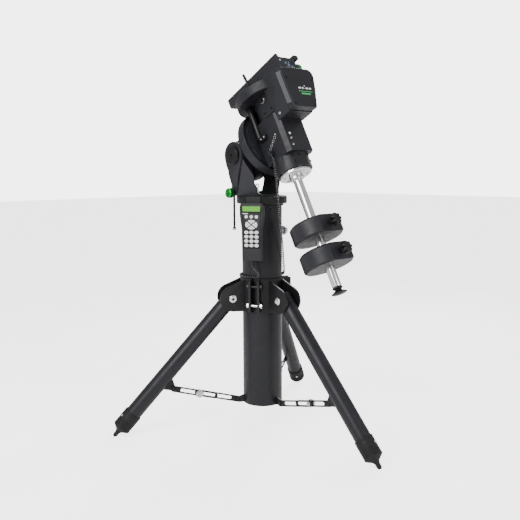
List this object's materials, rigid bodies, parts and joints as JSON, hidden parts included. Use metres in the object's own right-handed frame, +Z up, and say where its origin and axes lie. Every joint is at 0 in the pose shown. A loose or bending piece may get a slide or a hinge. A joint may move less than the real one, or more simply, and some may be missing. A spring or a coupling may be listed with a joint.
{
  "type": "equatorial mount",
  "caption": "German equatorial telescope mount on a pier tripod with folding braced legs, sliding counterweights, clamp saddle, fork latitude adjuster and wired handset.",
  "frame": {"origin": "middle of the footprint box, on the floor", "axes": "+Z up, -Y towards the pole (north), +X west"},
  "size_m": [0.9308, 0.8264, 1.2961],
  "materials": {
    "black_paint": "textured satin",
    "charcoal_paint": "textured satin",
    "alloy_black": "textured satin",
    "alloy_charcoal": "textured satin",
    "steel": "polished",
    "weight_iron": "satin",
    "green_anodised": "satin",
    "rubber": "matte",
    "bronze": "satin",
    "black_plastic": "satin",
    "keypad_white": "matte",
    "motor_can": "satin"
  },
  "bodies": {
    "pier": {"pier_tube": "charcoal_paint", "pier_top_plate": "alloy_black", "leg_bracket_1": "alloy_black", "leg_bracket_2": "alloy_black", "leg_bracket_3": "alloy_black", "leg_pivot_bolt_1": "steel", "leg_pivot_bolt_2": "steel", "leg_pivot_bolt_3": "steel"},
    "leg_1": {"leg_tube_1": "charcoal_paint", "leg_foot_1": "rubber"},
    "brace_inner_1": {"brace_inner_bar_1": "black_paint"},
    "brace_outer_1": {"brace_outer_bar_1": "black_paint"},
    "brace_knob_1": {"brace_knob_1": "steel"},
    "leg_2": {"leg_tube_2": "charcoal_paint", "leg_foot_2": "rubber"},
    "brace_inner_2": {"brace_inner_bar_2": "black_paint"},
    "brace_outer_2": {"brace_outer_bar_2": "black_paint"},
    "brace_knob_2": {"brace_knob_2": "steel"},
    "leg_3": {"leg_tube_3": "charcoal_paint", "leg_foot_3": "rubber"},
    "brace_inner_3": {"brace_inner_bar_3": "black_paint"},
    "brace_outer_3": {"brace_outer_bar_3": "black_paint"},
    "brace_knob_3": {"brace_knob_3": "steel"},
    "azimuth": {"azimuth_base": "alloy_black", "alt_fork": "alloy_charcoal", "pivot_cap_east": "alloy_black", "pivot_cap_west": "alloy_black", "handset_bracket": "black_paint", "handset_body": "black_plastic", "handset_cable_lower": "rubber"},
    "azimuth_knob_east": {"azimuth_knob_east": "green_anodised"},
    "azimuth_knob_west": {"azimuth_knob_west": "green_anodised"},
    "latitude_screw": {"latitude_screw": "black_paint"},
    "keypad": {"handset_keypad": "keypad_white"},
    "ra_body": {"ra_housing": "alloy_charcoal", "ra_worm": "steel", "ra_motor": "motor_can", "handset_cable_upper": "rubber"},
    "dec_body": {"dec_housing": "alloy_charcoal", "dec_front_cover": "alloy_charcoal", "dec_motor": "motor_can", "dec_worm": "steel", "ra_shaft": "steel", "ra_worm_wheel": "bronze", "shaft_flange": "steel", "counterweight_shaft": "steel", "cable_plug": "black_plastic"},
    "dec_rotor": {"dec_turntable": "alloy_black", "dec_shaft": "steel", "dec_worm_wheel": "bronze", "saddle_plate": "alloy_charcoal"},
    "saddle_jaw": {"saddle_jaw": "alloy_black"},
    "saddle_knob_front": {"saddle_knob_front": "green_anodised"},
    "saddle_knob_rear": {"saddle_knob_rear": "green_anodised"},
    "dec_clutch_lever": {"dec_clutch_lever": "alloy_black"},
    "counterweight_upper": {"counterweight_upper": "weight_iron"},
    "counterweight_knob_upper": {"counterweight_knob_upper": "black_plastic"},
    "counterweight_lower": {"counterweight_lower": "weight_iron"},
    "counterweight_knob_lower": {"counterweight_knob_lower": "black_plastic"},
    "shaft_end_cap": {"shaft_end_cap": "alloy_black"}
  },
  "joints": [
    {"name": "leg_fold_1", "type": "hinge", "parent": "pier", "child": "leg_1", "pos_m": [0.00656, 0.01043, 0.4735], "axis": [0.9998, 0.0175, 0], "range_deg": [0, 25]},
    {"name": "brace_inner_fold_1", "type": "hinge", "parent": "pier", "child": "brace_inner_1", "pos_m": [0.00621, 0.03083, 0.1], "axis": [0.9998, 0.0175, 0], "range_deg": [-65, 0]},
    {"name": "brace_outer_fold_1", "type": "hinge", "parent": "leg_1", "child": "brace_outer_1", "pos_m": [0.01021, -0.19864, 0.1558], "axis": [0.9998, 0.0175, 0], "range_deg": [0, 65]},
    {"name": "brace_knob_turn_1", "type": "hinge", "parent": "brace_outer_1", "child": "brace_knob_1", "pos_m": [0.00864, -0.10828, 0.13383], "axis": [0.9998, 0.0175, 0], "continuous": true},
    {"name": "leg_fold_2", "type": "hinge", "parent": "pier", "child": "leg_2", "pos_m": [-0.0937, 0.17731, 0.4735], "axis": [-0.4848, -0.8746, 0], "range_deg": [0, 25]},
    {"name": "brace_inner_fold_2", "type": "hinge", "parent": "pier", "child": "brace_inner_2", "pos_m": [-0.07586, 0.16742, 0.1], "axis": [-0.4848, -0.8746, 0], "range_deg": [-65, 0]},
    {"name": "brace_outer_fold_2", "type": "hinge", "parent": "leg_2", "child": "brace_outer_2", "pos_m": [-0.27659, 0.27868, 0.1558], "axis": [-0.4848, -0.8746, 0], "range_deg": [0, 65]},
    {"name": "brace_knob_turn_2", "type": "hinge", "parent": "brace_outer_2", "child": "brace_knob_2", "pos_m": [-0.19755, 0.23487, 0.13383], "axis": [-0.4848, -0.8746, 0], "continuous": true},
    {"name": "leg_fold_3", "type": "hinge", "parent": "pier", "child": "leg_3", "pos_m": [0.10095, 0.18071, 0.4735], "axis": [-0.515, 0.8572, 0], "range_deg": [0, 25]},
    {"name": "brace_inner_fold_3", "type": "hinge", "parent": "pier", "child": "brace_inner_3", "pos_m": [0.08346, 0.1702, 0.1], "axis": [-0.515, 0.8572, 0], "range_deg": [-65, 0]},
    {"name": "brace_outer_fold_3", "type": "hinge", "parent": "leg_3", "child": "brace_outer_3", "pos_m": [0.28018, 0.2884, 0.1558], "axis": [-0.515, 0.8572, 0], "range_deg": [0, 65]},
    {"name": "brace_knob_turn_3", "type": "hinge", "parent": "brace_outer_3", "child": "brace_knob_3", "pos_m": [0.20272, 0.24186, 0.13383], "axis": [-0.515, 0.8572, 0], "continuous": true},
    {"name": "azimuth_turn", "type": "hinge", "parent": "pier", "child": "azimuth", "pos_m": [0.0046, 0.12282, 0.8033], "axis": [0, 0, 1], "range_deg": [-12, 12]},
    {"name": "azimuth_knob_east_turn", "type": "hinge", "parent": "azimuth", "child": "azimuth_knob_east", "pos_m": [-0.0954, 0.17082, 0.84], "axis": [1, 0, 0], "continuous": true},
    {"name": "azimuth_knob_west_turn", "type": "hinge", "parent": "azimuth", "child": "azimuth_knob_west", "pos_m": [0.1046, 0.17082, 0.84], "axis": [1, 0, 0], "continuous": true},
    {"name": "latitude_screw_turn", "type": "hinge", "parent": "azimuth", "child": "latitude_screw", "pos_m": [0.0046, 0.27482, 0.843], "axis": [0, 1, 0], "range_deg": [-90, 90]},
    {"name": "keypad_press", "type": "slide", "parent": "azimuth", "child": "keypad", "axis": [0.866, 0.5, 0], "range_m": [0, 0.0012], "stiffness_N_per_m": 400},
    {"name": "latitude_tilt", "type": "hinge", "parent": "azimuth", "child": "ra_body", "pos_m": [0.0046, 0.16006, 0.96878], "axis": [-1, 0, 0], "range_deg": [-12, 37], "deforming": ["handset_cable_lower"]},
    {"name": "right_ascension", "type": "hinge", "parent": "ra_body", "child": "dec_body", "pos_m": [0.0046, 0.02762, 1.0392], "axis": [0, -0.8829, 0.4695], "range_deg": [-100, 100], "deforming": ["handset_cable_upper"]},
    {"name": "declination", "type": "hinge", "parent": "dec_body", "child": "dec_rotor", "pos_m": [0.0046, 0.09804, 1.17164], "axis": [0, 0.4695, 0.8829], "continuous": true},
    {"name": "jaw_close", "type": "slide", "parent": "dec_rotor", "child": "saddle_jaw", "axis": [-1, 0, 0], "range_m": [0, 0.012]},
    {"name": "saddle_knob_front_turn", "type": "hinge", "parent": "saddle_jaw", "child": "saddle_knob_front", "pos_m": [0.0746, 0.02458, 1.25714], "axis": [1, 0, 0], "range_deg": [0, 2880]},
    {"name": "saddle_knob_rear_turn", "type": "hinge", "parent": "saddle_jaw", "child": "saddle_knob_rear", "pos_m": [0.0746, 0.20999, 1.15855], "axis": [1, 0, 0], "range_deg": [0, 2880]},
    {"name": "dec_clutch_turn", "type": "hinge", "parent": "dec_rotor", "child": "dec_clutch_lever", "pos_m": [-0.0454, 0.10395, 1.19341], "axis": [1, 0, 0], "range_deg": [0, 60]},
    {"name": "counterweight_upper_slide", "type": "slide", "parent": "dec_body", "child": "counterweight_upper", "axis": [0, 0.4695, 0.8829], "range_m": [-0.015, 0.15]},
    {"name": "counterweight_knob_upper_turn", "type": "hinge", "parent": "counterweight_upper", "child": "counterweight_knob_upper", "pos_m": [0.0046, -0.22093, 0.76346], "axis": [0, -0.8829, 0.4695], "continuous": true},
    {"name": "counterweight_lower_slide", "type": "slide", "parent": "dec_body", "child": "counterweight_lower", "axis": [0, 0.4695, 0.8829], "range_m": [-0.045, 0.015]},
    {"name": "counterweight_knob_lower_turn", "type": "hinge", "parent": "counterweight_lower", "child": "counterweight_knob_lower", "pos_m": [0.0046, -0.26623, 0.67825], "axis": [0, -0.8829, 0.4695], "continuous": true},
    {"name": "end_cap_turn", "type": "hinge", "parent": "dec_body", "child": "shaft_end_cap", "pos_m": [0.0046, -0.23764, 0.54034], "axis": [0, 0.4695, 0.8829], "continuous": true}
  ],
  "couplings": [
    {"joint": "brace_inner_fold_1", "follows": "leg_fold_1", "ratio": -2.6},
    {"joint": "brace_outer_fold_1", "follows": "leg_fold_1", "ratio": 2.6},
    {"joint": "brace_inner_fold_2", "follows": "leg_fold_2", "ratio": -2.6},
    {"joint": "brace_outer_fold_2", "follows": "leg_fold_2", "ratio": 2.6},
    {"joint": "brace_inner_fold_3", "follows": "leg_fold_3", "ratio": -2.6},
    {"joint": "brace_outer_fold_3", "follows": "leg_fold_3", "ratio": 2.6},
    {"joint": "saddle_knob_rear_turn", "follows": "jaw_close", "rad_per_m": 4188},
    {"joint": "saddle_knob_front_turn", "follows": "jaw_close", "rad_per_m": 4188}
  ]
}
